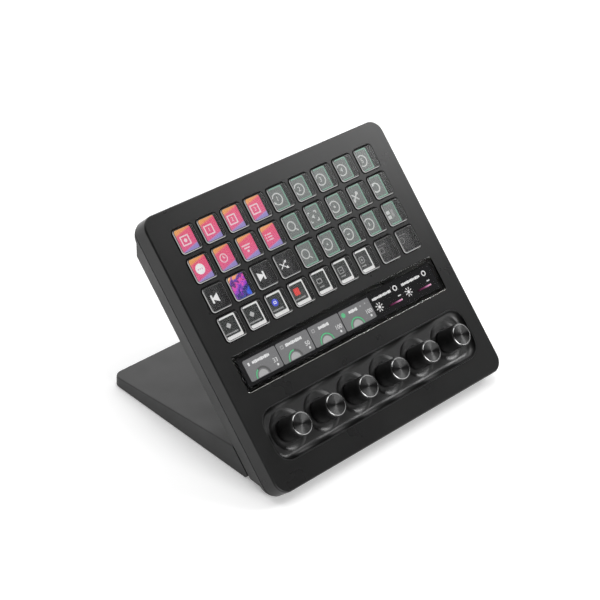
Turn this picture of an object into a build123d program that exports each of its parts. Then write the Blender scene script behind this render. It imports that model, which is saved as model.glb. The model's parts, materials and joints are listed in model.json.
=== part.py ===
from build123d import *
from math import atan, cos, degrees, radians, sin
import os

# A desk keypad: a slab that leans back on a low foot, with a field of clear square keys over one
# screen, a narrow screen strip, and a row of dials that turn and press in a glossy trough.
# +Z is up, +X is the user's right, +Y points away from the user. The origin lies on the desk,
# under the middle of the whole object. "Up" in a name below is the distance up the slab's face
# from its bottom edge, and a depth is measured inwards from that face.

os.makedirs("parts", exist_ok=True)

# Slab
tilt = 44.3
slab_width = 203.5
slab_height = 182.3
corner_radius = 9.0
front_edge_round = 1.0
faceplate_depth = 11.5
housing_depth = 13.7
housing_side_inset = 3.5
face_wall = 3.0
side_wall = 2.4
seam_gap = 0.9
seam_inset = 1.2
slab_lift = 0.4
overall_depth = 156.4

# The rear housing's top and bottom flanks step in from the slab's edge on their way back.
flank_lip_run = 5.0
flank_lip_depth = 2.3
flank_shelf_run = 10.3
flank_shelf_depth = 4.5
flank_run = 16.5

# Keys
key_columns = 9
key_rows = 4
key_pitch = 19.4
key_aperture = 17.6
aperture_radius = 3.0
key_gap = 0.4
key_rise = 1.0
key_edge_round = 1.2
key_flange = 0.5
key_flange_thickness = 1.0
key_travel = 1.2
lowest_row_up = 102.6
seat_gap = 0.1
travel_gap = 0.2

# Key membrane and key screen
field_gap = 0.3
field_rib = 1.5
membrane_thickness = 0.9
membrane_lap = 1.0
key_screen_thickness = 2.6

# Screen strip
strip_width = 176.5
strip_height = 24.0
strip_up = 74.3
strip_corner = 1.5
strip_ledge = 3.0
glass_thickness = 1.5
glass_gap = 0.1
strip_screen_margin = 1.5
strip_screen_thickness = 2.6

# Dial trough
dial_count = 6
dial_pitch = 28.7
dial_up = 32.6
trough_width = 180.8
trough_height = 34.8
trough_corner = 11.0
trough_gap = 0.1
trough_rim = 0.5
trough_rim_drop = 0.2
trough_flange = 1.1
trough_depth = 4.6
trough_floor_round = 4.2
bowl_depth = 5.5
bowl_flat_run = 1.3
bowl_rise_run = 6.5
trough_floor_wall = 1.6

# Dials
dial_radius = 7.65
dial_rise = 11.3
dial_sink = 5.2
dial_edge = 0.4
dial_travel = 0.6
dial_skirt_wall = 1.4
dial_boss_radius = 4.7
dial_skirt_depth = 9.0
well_gap = 0.95
well_spare = 0.3
spindle_radius = 3.0
spindle_collar = 0.8
spindle_collar_height = 1.5
spindle_grip = 11.0
running_gap = 0.05

# Encoders and circuit boards
encoder_size = 12.5
encoder_height = 6.5
encoder_roof = 3.2
encoder_floor = 0.6
bush_wall = 0.6
bush_gap = 0.3
board_thickness = 1.6
dial_board_width = 172.0
dial_board_height = 30.0
main_board_width = 172.0
main_board_height = 108.0
main_board_up = 116.0
processor_size = 14.0
processor_height = 1.4
post_radius = 2.4
post_spacing_x = 120.0
post_spacing_up = 70.0

# Rear socket
socket_up = 75.0
socket_width = 8.9
socket_height = 3.2
socket_wall = 0.3
socket_length = 7.5
socket_recess = 0.5
socket_clearance = 0.3
socket_tongue = 0.8
riser_width = 12.0
riser_height = 8.0

# Screws, all of one size
screw_radius = 1.2
screw_length = 6.0
screw_head_radius = 2.2
screw_head_height = 1.5
screw_socket_radius = 1.0
screw_socket_depth = 0.8
screw_hole_gap = 0.05
screw_head_gap = 0.25
boss_wall = 1.35
boss_edge = 7.35
boss_end = 24.0
boss_rows = 4
boss_floor = 2.0
seat_screw_up = 29.5
seat_screw_spacing = 48.0
seat_screw_count = 4
seat_boss_height = 4.0

# Foot
foot_side_inset = 3.5
foot_clearance = 0.7
foot_gap = 1.0
foot_land_inset = 6.0
foot_land_height = 14.0
foot_notch_height = 17.0
foot_rear_height = 7.0
foot_wall = 2.4
foot_corner = 6.5
foot_top_round = 0.8
foot_tip_round = 2.0
plate_thickness = 3.0
plate_gap = 0.2
plate_screw_spacing_x = 130.0
plate_screw_front = 13.0
plate_screw_rear = 67.0
pad_length = 30.0
pad_width = 8.0
pad_corner = 3.0
pad_thickness = 2.2
pad_end_margin = 8.0
pad_side_margin = 10.0

# Levels below the slab's face
slab_depth = faceplate_depth + housing_depth
flange_depth = face_wall + seat_gap
key_depth = flange_depth + key_flange_thickness
membrane_depth = key_depth + key_travel + travel_gap
key_screen_depth = membrane_depth + membrane_thickness
main_board_depth = key_screen_depth + key_screen_thickness
well_depth = dial_sink + dial_travel + well_spare
encoder_depth = well_depth + trough_floor_wall
dial_board_depth = encoder_depth + encoder_height
screw_seat_depth = faceplate_depth + boss_floor

# The slab's face: local X runs to the right, local Y up the face and local Z out of it.
lean = radians(tilt)
face_start = -overall_depth / 2 - front_edge_round * (cos(lean) + sin(lean) - 1)
face_height = faceplate_depth * cos(lean) + slab_lift
face = Plane(origin=(0, face_start, face_height), x_dir=(1, 0, 0), z_dir=(0, -sin(lean), cos(lean)))
side = Plane(origin=face.origin, x_dir=face.y_dir, z_dir=(1, 0, 0))
outward = Axis(face.origin, face.z_dir)
middle = (0, slab_height / 2)

# Where things stand on the face
highest_row_up = lowest_row_up + (key_rows - 1) * key_pitch
field_middle = (0, (lowest_row_up + highest_row_up) / 2)
field_width = key_columns * key_pitch + 2 * field_gap
field_height = key_rows * key_pitch + 2 * field_gap
dial_middle = (0, dial_up)
dial_places = [((i - (dial_count - 1) / 2) * dial_pitch, dial_up) for i in range(dial_count)]
boss_radius = screw_radius + boss_wall
boss_spacing_x = slab_width - 2 * boss_edge
boss_spacing_up = (slab_height - 2 * boss_end) / (boss_rows - 1)
pilot_radius = screw_radius + screw_hole_gap
head_hole_radius = screw_head_radius + screw_head_gap


def level(depth):
    """The plane parallel to the face, this far inside the slab."""
    return face.offset(-depth)


def save(part, label):
    part.label = label
    export_step(part, f"parts/{label}.step")


# Faceplate: the front shell, with the key windows, the strip's window and the trough's opening
with BuildPart() as faceplate:
    with BuildSketch(face):
        with Locations(middle):
            RectangleRounded(slab_width, slab_height, corner_radius)
    extrude(amount=-faceplate_depth)
    fillet(faceplate.faces().sort_by(outward)[-1].edges(), front_edge_round)
    with BuildSketch(level(face_wall)):
        with Locations(middle):
            RectangleRounded(
                slab_width - 2 * side_wall, slab_height - 2 * side_wall, corner_radius - side_wall
            )
    extrude(amount=-(faceplate_depth - face_wall), mode=Mode.SUBTRACT)
    with BuildSketch(level(face_wall)):
        with Locations(field_middle):
            Rectangle(field_width + 2 * field_rib, field_height + 2 * field_rib)
            Rectangle(field_width, field_height, mode=Mode.SUBTRACT)
    extrude(amount=-(membrane_depth - face_wall))
    with BuildSketch(level(face_wall)):
        with Locations(middle):
            with GridLocations(boss_spacing_x, boss_spacing_up, 2, boss_rows):
                Circle(boss_radius)
    extrude(amount=-(faceplate_depth - face_wall))
    with BuildSketch(level(faceplate_depth)):
        with Locations(middle):
            with GridLocations(boss_spacing_x, boss_spacing_up, 2, boss_rows):
                Circle(pilot_radius)
    extrude(amount=screw_length, mode=Mode.SUBTRACT)
    with BuildSketch(face):
        with Locations(field_middle):
            with GridLocations(key_pitch, key_pitch, key_columns, key_rows):
                RectangleRounded(key_aperture, key_aperture, aperture_radius)
    extrude(amount=-face_wall, mode=Mode.SUBTRACT)
    with BuildSketch(face):
        with Locations((0, strip_up)):
            RectangleRounded(
                strip_width + 2 * glass_gap, strip_height + 2 * glass_gap, strip_corner + glass_gap
            )
    extrude(amount=-(glass_thickness + glass_gap), mode=Mode.SUBTRACT)
    with BuildSketch(face):
        with Locations((0, strip_up)):
            Rectangle(strip_width - 2 * strip_ledge, strip_height - 2 * strip_ledge)
    extrude(amount=-face_wall, mode=Mode.SUBTRACT)
    with BuildSketch(face):
        with Locations(dial_middle):
            RectangleRounded(trough_width, trough_height, trough_corner)
    extrude(amount=-face_wall, mode=Mode.SUBTRACT)
save(faceplate.part, "faceplate")

# Rear housing: drafted sides and stepped flanks outside, the same shape less the wall inside
housing_draft = degrees(atan(housing_side_inset / housing_depth))
flank_profile = [
    (0, 0),
    (0, -faceplate_depth),
    (flank_lip_run, -faceplate_depth - flank_lip_depth),
    (flank_shelf_run, -faceplate_depth - flank_shelf_depth),
    (flank_run, -slab_depth),
    (slab_height - flank_run, -slab_depth),
    (slab_height - flank_shelf_run, -faceplate_depth - flank_shelf_depth),
    (slab_height - flank_lip_run, -faceplate_depth - flank_lip_depth),
    (slab_height, -faceplate_depth),
    (slab_height, 0),
]

with BuildPart() as housing_cavity:
    with BuildSketch(level(faceplate_depth)):
        with Locations(middle):
            RectangleRounded(
                slab_width - 2 * side_wall, slab_height - 2 * side_wall, corner_radius - side_wall
            )
    extrude(amount=-housing_depth, taper=housing_draft)
    with BuildSketch(side):
        with BuildLine():
            Polyline(*flank_profile, close=True)
        make_face()
        offset(amount=-side_wall, kind=Kind.INTERSECTION, mode=Mode.REPLACE)
    extrude(amount=slab_width, both=True, mode=Mode.INTERSECT)

with BuildPart() as rear_housing:
    with BuildSketch(level(faceplate_depth)):
        with Locations(middle):
            RectangleRounded(slab_width, slab_height, corner_radius)
    extrude(amount=-housing_depth, taper=housing_draft)
    with BuildSketch(side):
        with BuildLine():
            Polyline(*flank_profile, close=True)
        make_face()
    extrude(amount=slab_width, both=True, mode=Mode.INTERSECT)
    add(housing_cavity.part, mode=Mode.SUBTRACT)
    with BuildSketch(level(faceplate_depth)):
        with Locations(middle):
            RectangleRounded(slab_width, slab_height, corner_radius)
            RectangleRounded(
                slab_width - 2 * seam_inset,
                slab_height - 2 * seam_inset,
                corner_radius - seam_inset,
                mode=Mode.SUBTRACT,
            )
    extrude(amount=-seam_gap, mode=Mode.SUBTRACT)
    with BuildSketch(level(faceplate_depth)):
        with Locations(middle):
            with GridLocations(boss_spacing_x, boss_spacing_up, 2, boss_rows):
                Circle(head_hole_radius + boss_wall / 2)
    extrude(amount=-(housing_depth - side_wall / 2))
    with BuildSketch(level(main_board_depth + board_thickness)):
        with Locations((0, main_board_up)):
            with GridLocations(post_spacing_x, post_spacing_up, 2, 2):
                Circle(post_radius)
    extrude(amount=-(slab_depth - side_wall / 2 - main_board_depth - board_thickness))
    with BuildSketch(level(dial_board_depth + board_thickness)):
        with Locations(dial_middle):
            with GridLocations(2 * dial_pitch, 1, 3, 1):
                Circle(post_radius)
    extrude(amount=-(slab_depth - side_wall / 2 - dial_board_depth - board_thickness))
    with BuildSketch(level(slab_depth - side_wall)):
        with Locations((0, seat_screw_up)):
            with GridLocations(seat_screw_spacing, 1, seat_screw_count, 1):
                Circle(boss_radius)
    extrude(amount=seat_boss_height)
    with BuildSketch(level(slab_depth)):
        with Locations((0, seat_screw_up)):
            with GridLocations(seat_screw_spacing, 1, seat_screw_count, 1):
                Circle(pilot_radius)
    extrude(amount=side_wall + seat_boss_height - boss_wall, mode=Mode.SUBTRACT)
    with BuildSketch(level(slab_depth)):
        with Locations(middle):
            with GridLocations(boss_spacing_x, boss_spacing_up, 2, boss_rows):
                Circle(head_hole_radius)
    extrude(amount=slab_depth - screw_seat_depth, mode=Mode.SUBTRACT)
    with BuildSketch(level(screw_seat_depth)):
        with Locations(middle):
            with GridLocations(boss_spacing_x, boss_spacing_up, 2, boss_rows):
                Circle(pilot_radius)
    extrude(amount=boss_floor, mode=Mode.SUBTRACT)
    with BuildSketch(level(slab_depth)):
        with Locations((0, socket_up)):
            SlotOverall(socket_width + 2 * socket_clearance, socket_height + 2 * socket_clearance)
    extrude(amount=side_wall, mode=Mode.SUBTRACT)
save(rear_housing.part, "rear_housing")

# Keys: clear square caps, held under the faceplate by a flange
cap_size = key_aperture - 2 * key_gap
cap_radius = aperture_radius - key_gap
flange_size = key_aperture + 2 * key_flange


def key_cap(place):
    """A clear cap that fills one window, rounded on top and flanged below."""
    with BuildPart() as cap:
        with BuildSketch(face.offset(key_rise)):
            with Locations(place):
                RectangleRounded(cap_size, cap_size, cap_radius)
        extrude(amount=-(key_rise + key_depth))
        fillet(cap.faces().sort_by(outward)[-1].edges(), key_edge_round)
        with BuildSketch(level(flange_depth)):
            with Locations(place):
                RectangleRounded(flange_size, flange_size, aperture_radius + key_flange)
        extrude(amount=-key_flange_thickness)
    return cap.part


for row in range(key_rows):
    for column in range(key_columns):
        key_x = (column - (key_columns - 1) / 2) * key_pitch
        key_up = highest_row_up - row * key_pitch
        save(key_cap((key_x, key_up)), f"key_r{row + 1}_c{column + 1}")

# Key membrane: the rubber frame that springs the keys back
with BuildPart() as key_membrane:
    with BuildSketch(level(membrane_depth)):
        with Locations(field_middle):
            Rectangle(field_width + 2 * field_rib, field_height + 2 * field_rib)
            with GridLocations(key_pitch, key_pitch, key_columns, key_rows):
                Rectangle(
                    key_aperture - 2 * membrane_lap, key_aperture - 2 * membrane_lap, mode=Mode.SUBTRACT
                )
    extrude(amount=-membrane_thickness)
save(key_membrane.part, "key_membrane")

# Display panels: one screen under all the keys and a narrow one behind the strip
with BuildPart() as display_panels:
    with BuildSketch(level(key_screen_depth)):
        with Locations(field_middle):
            Rectangle(field_width + 2 * field_rib, field_height + 2 * field_rib)
    extrude(amount=-key_screen_thickness)
    with BuildSketch(level(face_wall)):
        with Locations((0, strip_up)):
            Rectangle(
                strip_width - 2 * strip_ledge + 2 * strip_screen_margin,
                strip_height - 2 * strip_ledge + 2 * strip_screen_margin,
            )
    extrude(amount=-strip_screen_thickness)
save(display_panels.part, "display_panels")

# Strip glass: the window over the narrow screen, flush in the faceplate
with BuildPart() as strip_glass:
    with BuildSketch(level(glass_gap)):
        with Locations((0, strip_up)):
            RectangleRounded(strip_width, strip_height, strip_corner)
    extrude(amount=-glass_thickness)
save(strip_glass.part, "strip_glass")

# Dial tray: the trough's lining, hollowed by one bowl and one flat well round each dial
tray_width = trough_width - 2 * trough_gap
tray_height = trough_height - 2 * trough_gap
tray_corner = trough_corner - trough_gap
bowl_flat_radius = dial_radius + well_gap + bowl_flat_run
bowl_radius = bowl_flat_radius + bowl_rise_run
bowl_arc_radius = (bowl_rise_run**2 + bowl_depth**2) / (2 * bowl_depth)

with BuildPart() as dial_tray:
    with BuildSketch(level(trough_rim_drop)):
        with Locations(dial_middle):
            RectangleRounded(tray_width, tray_height, tray_corner)
    extrude(amount=-(encoder_depth - trough_rim_drop))
    with BuildSketch(level(face_wall)):
        with Locations(dial_middle):
            RectangleRounded(
                tray_width + 2 * trough_flange,
                tray_height + 2 * trough_flange,
                tray_corner + trough_flange,
            )
    extrude(amount=-(encoder_depth - face_wall))
    with BuildSketch(face):
        with Locations(dial_middle):
            RectangleRounded(
                tray_width - 2 * trough_rim, tray_height - 2 * trough_rim, tray_corner - trough_rim
            )
    extrude(amount=-trough_depth, mode=Mode.SUBTRACT)
    trough_floor = dial_tray.faces(Select.LAST).sort_by(outward)[0]
    fillet(trough_floor.edges(), trough_floor_round)
    for place in dial_places:
        axis_foot = face.from_local_coords((*place, 0))
        with BuildSketch(Plane(origin=axis_foot, x_dir=(1, 0, 0), z_dir=-face.y_dir)):
            with BuildLine():
                Polyline((bowl_radius, 0), (0, 0), (0, -bowl_depth), (bowl_flat_radius, -bowl_depth))
                RadiusArc((bowl_flat_radius, -bowl_depth), (bowl_radius, 0), -bowl_arc_radius)
            make_face()
        revolve(axis=Axis(axis_foot, face.z_dir), mode=Mode.SUBTRACT)
    with BuildSketch(face):
        with Locations(dial_places):
            Circle(dial_radius + well_gap)
    extrude(amount=-well_depth, mode=Mode.SUBTRACT)
    with BuildSketch(face):
        with Locations(dial_places):
            Circle(spindle_radius + running_gap + bush_wall + bush_gap)
    extrude(amount=-encoder_depth, mode=Mode.SUBTRACT)
save(dial_tray.part, "dial_tray")

# Dials: a metal cap over a spindle, which the encoder's bush guides
bore_radius = spindle_radius + running_gap
bore_depth = spindle_grip + running_gap
spindle_top = spindle_grip - dial_sink


def dial_knob(place):
    """A turned cap with a hollow skirt and a blind bore for the spindle."""
    with BuildPart() as knob:
        with BuildSketch(face.offset(dial_rise)):
            with Locations(place):
                Circle(dial_radius)
        extrude(amount=-(dial_rise + dial_sink))
        chamfer(knob.faces().sort_by(outward)[-1].edges(), dial_edge)
        with BuildSketch(level(dial_sink)):
            with Locations(place):
                Circle(dial_radius - dial_skirt_wall)
                Circle(dial_boss_radius, mode=Mode.SUBTRACT)
        extrude(amount=dial_skirt_depth, mode=Mode.SUBTRACT)
        with BuildSketch(level(dial_sink)):
            with Locations(place):
                Circle(bore_radius)
        extrude(amount=bore_depth, mode=Mode.SUBTRACT)
    return knob.part


def dial_spindle(place):
    """A round spindle with a collar that keeps it in the encoder."""
    collar_depth = encoder_depth + encoder_roof + seat_gap
    with BuildPart() as spindle:
        with BuildSketch(face.offset(spindle_top)):
            with Locations(place):
                Circle(spindle_radius)
        extrude(amount=-(spindle_top + collar_depth + spindle_collar_height))
        with BuildSketch(level(collar_depth)):
            with Locations(place):
                Circle(spindle_radius + spindle_collar)
        extrude(amount=-spindle_collar_height)
    return spindle.part


for number, place in enumerate(dial_places, start=1):
    save(dial_knob(place), f"dial_{number}_knob")
    save(dial_spindle(place), f"dial_{number}_spindle")

with BuildPart() as dial_encoders:
    with BuildSketch(level(encoder_depth)):
        with Locations(dial_places):
            Rectangle(encoder_size, encoder_size)
    extrude(amount=-encoder_height)
    with BuildSketch(level(well_depth)):
        with Locations(dial_places):
            Circle(bore_radius + bush_wall)
    extrude(amount=-(encoder_depth - well_depth))
    with BuildSketch(level(well_depth)):
        with Locations(dial_places):
            Circle(bore_radius)
    extrude(amount=-(encoder_depth - well_depth + encoder_roof), mode=Mode.SUBTRACT)
    with BuildSketch(level(encoder_depth + encoder_roof)):
        with Locations(dial_places):
            Circle(bore_radius + spindle_collar + running_gap)
    extrude(amount=-(encoder_height - encoder_roof - encoder_floor), mode=Mode.SUBTRACT)
save(dial_encoders.part, "dial_encoders")

# Circuit boards, with the processor and the rear socket on its riser
board_back = main_board_depth + board_thickness
socket_end = slab_depth - socket_recess

with BuildPart() as boards:
    with BuildSketch(level(main_board_depth)):
        with Locations((0, main_board_up)):
            Rectangle(main_board_width, main_board_height)
    extrude(amount=-board_thickness)
    with BuildSketch(level(dial_board_depth)):
        with Locations(dial_middle):
            Rectangle(dial_board_width, dial_board_height)
    extrude(amount=-board_thickness)

with BuildPart() as processor:
    with BuildSketch(level(board_back)):
        with Locations((0, main_board_up)):
            Rectangle(processor_size, processor_size)
    extrude(amount=-processor_height)

with BuildPart() as riser:
    with BuildSketch(level(board_back)):
        with Locations((0, socket_up)):
            Rectangle(riser_width, riser_height)
    extrude(amount=-(socket_end - socket_length - board_back))

with BuildPart() as socket:
    with BuildSketch(level(socket_end - socket_length)):
        with Locations((0, socket_up)):
            SlotOverall(socket_width, socket_height)
    extrude(amount=-socket_length)
    with BuildSketch(level(socket_end)):
        with Locations((0, socket_up)):
            SlotOverall(socket_width - 2 * socket_wall, socket_height - 2 * socket_wall)
            Rectangle(socket_width - 2 * socket_height, socket_tongue, mode=Mode.SUBTRACT)
    extrude(amount=socket_length - socket_wall, mode=Mode.SUBTRACT)

circuit_solids = [*boards.solids(), *processor.solids(), *riser.solids(), *socket.solids()]
save(Compound(circuit_solids), "circuit_boards")

# Foot: a hollow wedge screwed to the back of the slab, closed by a ballast plate below
foot_width = slab_width - 2 * foot_side_inset
foot_rear = overall_depth / 2
plate_top = foot_clearance + plate_thickness


def seat_y(depth, height):
    """Where a plane this far behind the slab's face crosses this height above the desk."""
    return face_start + (depth + (height - face_height) * cos(lean)) / sin(lean)


foot_depth = slab_depth + foot_gap
notch_y = seat_y(foot_depth, foot_notch_height)
tip_y = seat_y(foot_depth, foot_clearance)


def foot_top(y):
    """Height of the foot's upper surface above the desk."""
    fall = (foot_notch_height - foot_rear_height) / (foot_rear - notch_y)
    return foot_notch_height - (y - notch_y) * fall


foot_profile = [
    (tip_y, foot_clearance),
    (notch_y, foot_notch_height),
    (foot_rear, foot_top(foot_rear)),
    (foot_rear, foot_clearance),
]

with BuildPart() as foot_cavity:
    with BuildSketch(Plane.YZ):
        with BuildLine():
            Polyline(
                (seat_y(foot_depth, -plate_thickness), -plate_thickness),
                (notch_y, foot_notch_height),
                (foot_rear, foot_top(foot_rear)),
                (foot_rear, -plate_thickness),
                close=True,
            )
        make_face()
        offset(amount=-foot_wall, kind=Kind.INTERSECTION, mode=Mode.REPLACE)
    extrude(amount=foot_width / 2 - foot_wall, both=True)
    fillet(foot_cavity.edges().filter_by(Axis.Z), foot_corner - foot_wall)

plate_screw_places = [
    (side_sign * plate_screw_spacing_x / 2, notch_y + run)
    for side_sign in (-1, 1)
    for run in (plate_screw_front, plate_screw_rear)
]
plate_screw_seat = foot_clearance + screw_head_height + screw_head_gap

with BuildPart() as stand_foot:
    with BuildSketch(Plane.YZ):
        with BuildLine():
            Polyline(*foot_profile, close=True)
        make_face()
    extrude(amount=foot_width / 2, both=True)
    fillet(stand_foot.edges().filter_by(Axis.Z), foot_corner)
    foot_roof = stand_foot.faces().sort_by(Axis.Z)[-1]
    fillet(foot_roof.edges(), foot_top_round)
    fillet(stand_foot.edges().filter_by(Axis.X).sort_by(Axis.Y)[0], foot_tip_round)
    add(foot_cavity.part, mode=Mode.SUBTRACT)
    for place in plate_screw_places:
        with BuildSketch(Plane.XY.offset(plate_top)):
            with Locations(place):
                Circle(boss_radius)
        extrude(amount=foot_top(place[1]) - foot_wall / 2 - plate_top)
    with BuildSketch(Plane.XY.offset(plate_top)):
        with Locations(plate_screw_places):
            Circle(pilot_radius)
    extrude(amount=screw_length - plate_top + plate_screw_seat, mode=Mode.SUBTRACT)
    with BuildSketch(level(foot_depth)):
        with Locations((0, seat_screw_up)):
            Rectangle(foot_width - 2 * foot_land_inset, foot_land_height)
    extrude(amount=foot_gap)
    with BuildSketch(level(slab_depth)):
        with Locations((0, seat_screw_up)):
            with GridLocations(seat_screw_spacing, 1, seat_screw_count, 1):
                Circle(pilot_radius)
    extrude(amount=-(foot_gap + foot_wall), mode=Mode.SUBTRACT)
save(stand_foot.part, "stand_foot")

# Ballast plate, with pockets for the pads and recesses for its screw heads
plate_front = seat_y(foot_depth + foot_wall, plate_top) + plate_gap
plate_rear = foot_rear - foot_wall - plate_gap
plate_width = foot_width - 2 * foot_wall - 2 * plate_gap
plate_middle_y = (plate_front + plate_rear) / 2
pad_spacing_x = plate_width - pad_length - 2 * pad_side_margin
pad_spacing_y = plate_rear - plate_front - pad_width - 2 * pad_end_margin

with BuildPart() as foot_base_plate:
    with BuildSketch(Plane.XY.offset(foot_clearance)):
        with Locations((0, plate_middle_y)):
            Rectangle(plate_width, plate_rear - plate_front)
    extrude(amount=plate_thickness)
    rear_corners = foot_base_plate.edges().filter_by(Axis.Z).group_by(Axis.Y)[-1]
    fillet(rear_corners, foot_corner - foot_wall - plate_gap)
    with BuildSketch(Plane.XY.offset(foot_clearance)):
        with Locations((0, plate_middle_y)):
            with GridLocations(pad_spacing_x, pad_spacing_y, 2, 2):
                RectangleRounded(pad_length, pad_width, pad_corner)
    extrude(amount=pad_thickness - foot_clearance, mode=Mode.SUBTRACT)
    with BuildSketch(Plane.XY.offset(foot_clearance)):
        with Locations(plate_screw_places):
            Circle(head_hole_radius)
    extrude(amount=plate_screw_seat - foot_clearance, mode=Mode.SUBTRACT)
    with BuildSketch(Plane.XY.offset(foot_clearance)):
        with Locations(plate_screw_places):
            Circle(pilot_radius)
    extrude(amount=plate_thickness, mode=Mode.SUBTRACT)
save(foot_base_plate.part, "foot_base_plate")

with BuildPart() as rubber_feet:
    with BuildSketch(Plane.XY):
        with Locations((0, plate_middle_y)):
            with GridLocations(pad_spacing_x, pad_spacing_y, 2, 2):
                RectangleRounded(pad_length, pad_width, pad_corner)
    extrude(amount=pad_thickness)
save(rubber_feet.part, "rubber_feet")


def screws_on(seat, places):
    """One screw at each place: its head outside this plane and its shank beyond it."""
    with BuildPart() as screws:
        with BuildSketch(seat):
            with Locations(places):
                Circle(screw_radius)
        extrude(amount=screw_length)
        with BuildSketch(seat):
            with Locations(places):
                Circle(screw_head_radius)
        extrude(amount=-screw_head_height)
        with BuildSketch(seat.offset(-screw_head_height)):
            with Locations(places):
                RegularPolygon(screw_socket_radius, 6)
        extrude(amount=screw_socket_depth, mode=Mode.SUBTRACT)
    return screws.solids()


housing_screw_places = [
    (x_sign * boss_spacing_x / 2, boss_end + row * boss_spacing_up)
    for x_sign in (-1, 1)
    for row in range(boss_rows)
]
seat_screw_places = [
    ((i - (seat_screw_count - 1) / 2) * seat_screw_spacing, seat_screw_up)
    for i in range(seat_screw_count)
]
screw_solids = [
    *screws_on(level(screw_seat_depth), housing_screw_places),
    *screws_on(level(foot_depth + foot_wall), seat_screw_places),
    *screws_on(Plane.XY.offset(plate_screw_seat), plate_screw_places),
]
save(Compound(screw_solids), "screws")
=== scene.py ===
import bpy
import bmesh
import json
import math
from mathutils import Matrix, Vector


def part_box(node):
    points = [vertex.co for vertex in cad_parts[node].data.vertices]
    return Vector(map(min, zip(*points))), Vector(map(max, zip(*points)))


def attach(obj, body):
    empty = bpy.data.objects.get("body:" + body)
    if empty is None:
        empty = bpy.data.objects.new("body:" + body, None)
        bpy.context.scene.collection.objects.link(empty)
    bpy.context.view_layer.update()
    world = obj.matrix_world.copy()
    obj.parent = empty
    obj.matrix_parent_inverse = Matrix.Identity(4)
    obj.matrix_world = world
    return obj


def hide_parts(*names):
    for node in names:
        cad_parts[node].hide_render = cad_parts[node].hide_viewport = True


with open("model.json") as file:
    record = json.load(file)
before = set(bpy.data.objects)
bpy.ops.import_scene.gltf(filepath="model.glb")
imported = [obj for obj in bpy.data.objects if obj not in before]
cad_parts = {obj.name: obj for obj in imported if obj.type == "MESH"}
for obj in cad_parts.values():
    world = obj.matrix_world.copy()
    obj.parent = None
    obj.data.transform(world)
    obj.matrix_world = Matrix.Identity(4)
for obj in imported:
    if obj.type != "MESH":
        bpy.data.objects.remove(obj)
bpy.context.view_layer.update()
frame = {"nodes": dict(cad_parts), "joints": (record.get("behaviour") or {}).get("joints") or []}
nodes = frame["nodes"]
joints = {joint["name"]: joint for joint in frame["joints"]}
mm = 0.001
weldGap = 0.01  # millimetres: points nearer than this are one
keyRows = range(1, 5)
keyColumns = range(1, 10)
dials = range(1, 7)
print("frame loaded:", len(nodes), "nodes")

# the slab's face: right, up the face, and out of it, from the middle of the dial row
faceOut = Vector(joints["dial_1_turn"]["axis"]).normalized()
faceRight = Vector((1, 0, 0))
faceUp = faceOut.cross(faceRight)
dialSpot = Vector(joints["dial_1_turn"]["pos_m"])
faceStart = Vector((0, dialSpot.y, dialSpot.z))
faceMatrix = Matrix.Translation(faceStart) @ Matrix((faceRight, faceUp, faceOut)).transposed().to_4x4()


def onFace(point):
    # a point of the frame as millimetres right, up and out on the face
    return faceMatrix.inverted() @ point / mm


def middleOnFace(nodeName):
    low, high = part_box(nodeName)
    return onFace((low + high) / 2)


# camera
cameraView = {
    "aim": (-52.96, -35.77, 104.92),
    "azimuth": -47.465,
    "elevation": 33.994,
    "roll": 4.782,
    "distance": 1093.46,
    "lens": 112.12,
    "sensor": 36,
    "farEnd": 20,  # metres
}


def addCamera(view):
    azimuth, elevation = math.radians(view["azimuth"]), math.radians(view["elevation"])
    back = Vector((
        math.sin(azimuth) * math.cos(elevation),
        -math.cos(azimuth) * math.cos(elevation),
        math.sin(elevation),
    ))
    aim = Vector(view["aim"]) * mm
    bpy.ops.object.camera_add(location=aim + back * view["distance"] * mm)
    camera = bpy.context.object
    levelTurn = back.to_track_quat("Z", "Y")
    rollTurn = Matrix.Rotation(math.radians(view["roll"]), 4, "Z")
    camera.matrix_world = Matrix.Translation(camera.location) @ levelTurn.to_matrix().to_4x4() @ rollTurn
    camera.data.lens = view["lens"]
    camera.data.sensor_width = view["sensor"]
    camera.data.clip_end = view["farEnd"]
    bpy.context.scene.camera = camera


addCamera(cameraView)


# nodes that the sky and the materials share
def addStep(tree, source, start, end, low=0.0, high=1.0):
    # low up to the start, high from the end on, and a straight slope between
    span = tree.nodes.new("ShaderNodeMapRange")
    span.inputs["From Min"].default_value = start
    span.inputs["From Max"].default_value = end
    span.inputs["To Min"].default_value = low
    span.inputs["To Max"].default_value = high
    tree.links.new(source, span.inputs["Value"])
    return span.outputs["Result"]


def addDot(tree, source, direction):
    # how far the source agrees with a direction
    agree = tree.nodes.new("ShaderNodeVectorMath")
    agree.operation = "DOT_PRODUCT"
    agree.inputs[1].default_value = direction
    tree.links.new(source, agree.inputs[0])
    return agree.outputs["Value"]


def addMath(tree, operation, *sources):
    result = tree.nodes.new("ShaderNodeMath")
    result.operation = operation
    for source, socket in zip(sources, result.inputs):
        tree.links.new(source, socket)
    return result.outputs["Value"]


# light: a room that is dim in front and pale behind, and five square softboxes
sky = {"seen": 1.0, "front": 0.0, "back": 1.6, "backWay": (0.35, 0.94, 0.0), "fade": (-0.1, 0.5)}
lampAim = (0, 0, 60)
softboxes = {
    "rightLamp": {"spot": (1296, -472, 1157), "size": 550, "power": 10},
    "backLamp": {"spot": (900, 900, 1273), "size": 1000, "power": 3.5},
    "frontLamp": {"spot": (0, -1657, 703), "size": 1000, "power": 16},
    "overheadLamp": {"spot": (0, 0, 1800), "size": 1000, "power": 8},
    "lowLamp": {"spot": (1262, -1218, 405), "size": 600, "power": 2},
}


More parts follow.
